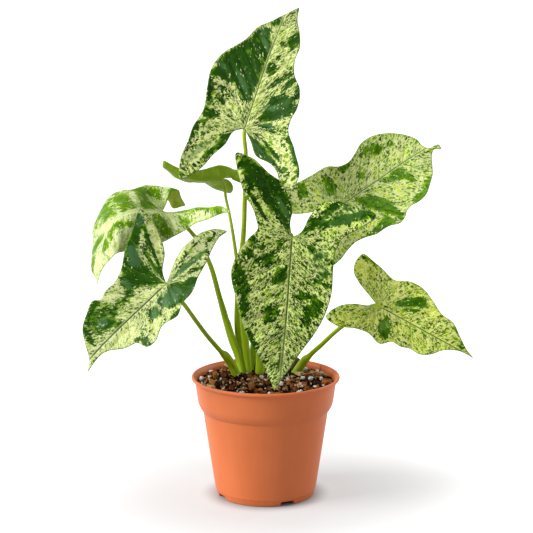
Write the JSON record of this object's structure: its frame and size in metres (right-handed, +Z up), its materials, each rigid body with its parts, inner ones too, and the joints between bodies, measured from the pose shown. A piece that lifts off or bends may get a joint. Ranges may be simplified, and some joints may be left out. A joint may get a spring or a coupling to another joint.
{
  "type": "potted plant",
  "caption": "Young arrowhead plant with lobed, cream-speckled green leaves on slender stalks, in a tapered round nursery pot of bark potting mix.",
  "frame": {"origin": "centre of the pot's foot, on the surface it stands on", "axes": "+Z up along the pot's axis, -Y towards the front, +X to the right seen from the front"},
  "size_m": [0.3048, 0.175, 0.387],
  "materials": {
    "terracotta_plastic": "satin",
    "potting_mix": "matte",
    "bark": "matte",
    "perlite": "matte",
    "leaf_variegated": "satin",
    "leaf_pale_speckled": "satin",
    "leaf_plain_green": "satin",
    "leaf_stalk": "satin",
    "dry_sheath": "matte"
  },
  "bodies": {
    "root": {"bark_01": "bark", "bark_02": "bark", "bark_03": "bark", "bark_04": "bark", "bark_05": "bark", "bark_06": "bark", "bark_07": "bark", "bark_08": "bark", "bark_09": "bark", "bark_10": "bark", "bark_11": "bark", "bark_12": "bark", "bark_13": "bark", "bark_14": "bark", "blade_a": "leaf_variegated", "blade_b": "leaf_plain_green", "blade_c": "leaf_pale_speckled", "blade_d": "leaf_variegated", "blade_e": "leaf_variegated", "blade_f": "leaf_pale_speckled", "blade_g": "leaf_pale_speckled", "dried_sheath": "dry_sheath", "old_stalk_stub": "dry_sheath", "perlite_01": "perlite", "perlite_02": "perlite", "perlite_03": "perlite", "perlite_04": "perlite", "perlite_05": "perlite", "perlite_06": "perlite", "perlite_07": "perlite", "perlite_08": "perlite", "perlite_09": "perlite", "perlite_10": "perlite", "perlite_11": "perlite", "perlite_12": "perlite", "perlite_13": "perlite", "perlite_14": "perlite", "petiole_a": "leaf_stalk", "petiole_b": "leaf_stalk", "petiole_c": "leaf_stalk", "petiole_d": "leaf_stalk", "petiole_e": "leaf_stalk", "petiole_f": "leaf_stalk", "petiole_g": "leaf_stalk", "pot": "terracotta_plastic", "potting_soil": "potting_mix"}
  },
  "joints": []
}
